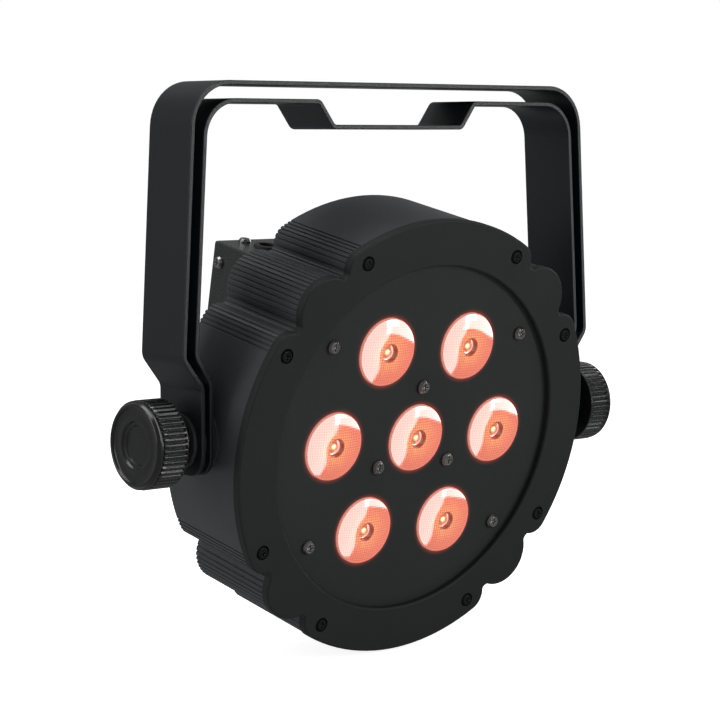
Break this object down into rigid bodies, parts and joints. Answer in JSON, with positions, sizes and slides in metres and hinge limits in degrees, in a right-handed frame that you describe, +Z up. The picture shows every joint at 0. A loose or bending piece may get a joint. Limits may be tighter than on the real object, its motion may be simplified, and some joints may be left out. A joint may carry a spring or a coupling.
{
  "type": "par can light",
  "caption": "Compact LED par light on a double yoke: round lobed head with domed lenses that tilts between ribbed knobs, with a rear control box.",
  "frame": {"origin": "centre of the clamp bolt hole, on the outer yoke's top face", "axes": "+Z up along the clamp hole, +X along the tilt axis to the light's left as it looks at the viewer's right, light shines towards -Y"},
  "size_m": [0.2684, 0.1309, 0.2557],
  "materials": {
    "yoke_paint": "fine textured powder coat",
    "housing_paint": "satin black",
    "bezel_paint": "matte black",
    "plate_paint": "matte black",
    "box_paint": "satin black sheet",
    "black_screw": "black zinc",
    "silver_screw": "zinc plated",
    "case_screw": "bright black zinc",
    "knob_plastic": "semi-gloss black",
    "washer_plastic": "matte",
    "steel": "plated",
    "brass": "turned",
    "aluminium": "milled",
    "lens_clear": "clear moulded acrylic, lit",
    "holder_plastic": "matte black",
    "emitter": "lit emitter",
    "board_white": "white solder mask",
    "board_green": "green solder mask",
    "chip_plastic": "matte",
    "socket_plastic": "moulded",
    "socket_metal": "black plated",
    "window": "dark red tinted",
    "display": "moulded",
    "button_plastic": "semi-gloss",
    "latch_metal": "nickel",
    "rubber": "soft black",
    "core": "varnished",
    "can": "sleeved",
    "fuse_glass": "clear",
    "lead": "insulated",
    "ribbon": "grey"
  },
  "bodies": {
    "yoke": {"outer_yoke": "yoke_paint", "spacer_washers": "washer_plastic"},
    "head": {"housing": "housing_paint", "bezel": "bezel_paint", "front_plate": "plate_paint", "rear_box": "box_paint", "rear_panel": "box_paint", "bezel_screws": "black_screw", "plate_screws": "silver_screw", "case_screws": "case_screw", "sink_screws": "silver_screw", "knob_inserts": "brass", "friction_washers": "washer_plastic", "plate_standoffs": "steel", "lens_holders": "holder_plastic", "led_emitters": "emitter", "led_board": "board_white", "heat_sink": "aluminium", "grommet": "rubber", "safety_eye": "steel", "display_window": "window", "display_module": "display", "control_board": "board_green", "power_board": "board_green", "control_chips": "chip_plastic", "tact_switches": "chip_plastic", "board_posts": "steel", "dmx_in_socket": "socket_metal", "dmx_out_socket": "socket_metal", "dmx_in_pins": "brass", "socket_contacts": "brass", "power_inlet": "socket_plastic", "power_outlet": "socket_plastic", "power_inlet_pins": "brass", "fuse_holder": "socket_plastic", "transformer": "core", "capacitors": "can", "led_leads": "lead", "ribbon_cable": "ribbon", "lens_1": "lens_clear", "lens_2": "lens_clear", "lens_3": "lens_clear", "lens_4": "lens_clear", "lens_5": "lens_clear", "lens_6": "lens_clear", "lens_7": "lens_clear"},
    "inner_yoke": {"inner_yoke": "yoke_paint"},
    "left_washer": {"knob_washer_left": "steel"},
    "right_washer": {"knob_washer_right": "steel"},
    "left_knob": {"knob_left": "knob_plastic", "knob_stud_left": "steel"},
    "right_knob": {"knob_right": "knob_plastic", "knob_stud_right": "steel"},
    "menu_button": {"button_menu": "button_plastic"},
    "down_button": {"button_down": "button_plastic"},
    "up_button": {"button_up": "button_plastic"},
    "enter_button": {"button_enter": "button_plastic"},
    "dmx_latch": {"dmx_latch": "latch_metal"},
    "fuse_cap": {"fuse_cap": "socket_plastic", "fuse": "fuse_glass"}
  },
  "joints": [
    {"name": "head_tilt", "type": "hinge", "parent": "yoke", "child": "head", "pos_m": [0, 0, -0.152], "axis": [1, 0, 0], "range_deg": [-180, 180]},
    {"name": "floor_bracket_swing", "type": "hinge", "parent": "yoke", "child": "inner_yoke", "pos_m": [0, 0, -0.152], "axis": [1, 0, 0], "range_deg": [-180, 180]},
    {"name": "left_knob_turn", "type": "hinge", "parent": "head", "child": "left_washer", "pos_m": [-0.11, 0, -0.152], "axis": [-1, 0, 0], "range_deg": [0, 720]},
    {"name": "left_knob_travel", "type": "slide", "parent": "left_washer", "child": "left_knob", "axis": [-1, 0, 0], "range_m": [0, 0.0025]},
    {"name": "right_knob_turn", "type": "hinge", "parent": "head", "child": "right_washer", "pos_m": [0.11, 0, -0.152], "axis": [1, 0, 0], "range_deg": [0, 720]},
    {"name": "right_knob_travel", "type": "slide", "parent": "right_washer", "child": "right_knob", "axis": [1, 0, 0], "range_m": [0, 0.0025]},
    {"name": "menu_press", "type": "slide", "parent": "head", "child": "menu_button", "axis": [0, -0.9808, -0.1951], "range_m": [0, 0.0007], "stiffness_N_per_m": 600},
    {"name": "down_press", "type": "slide", "parent": "head", "child": "down_button", "axis": [0, -0.9808, -0.1951], "range_m": [0, 0.0007], "stiffness_N_per_m": 600},
    {"name": "up_press", "type": "slide", "parent": "head", "child": "up_button", "axis": [0, -0.9808, -0.1951], "range_m": [0, 0.0007], "stiffness_N_per_m": 600},
    {"name": "enter_press", "type": "slide", "parent": "head", "child": "enter_button", "axis": [0, -0.9808, -0.1951], "range_m": [0, 0.0007], "stiffness_N_per_m": 600},
    {"name": "latch_press", "type": "slide", "parent": "head", "child": "dmx_latch", "axis": [0, -0.9808, -0.1951], "range_m": [0, 0.002], "stiffness_N_per_m": 500},
    {"name": "fuse_cap_turn", "type": "hinge", "parent": "head", "child": "fuse_cap", "pos_m": [0, 0.0794, -0.18209], "axis": [0, 0.9808, 0.1951], "range_deg": [0, 90]}
  ],
  "couplings": [
    {"joint": "left_knob_travel", "follows": "left_knob_turn", "m_per_rad": 0.0001989},
    {"joint": "right_knob_travel", "follows": "right_knob_turn", "m_per_rad": 0.0001989}
  ]
}
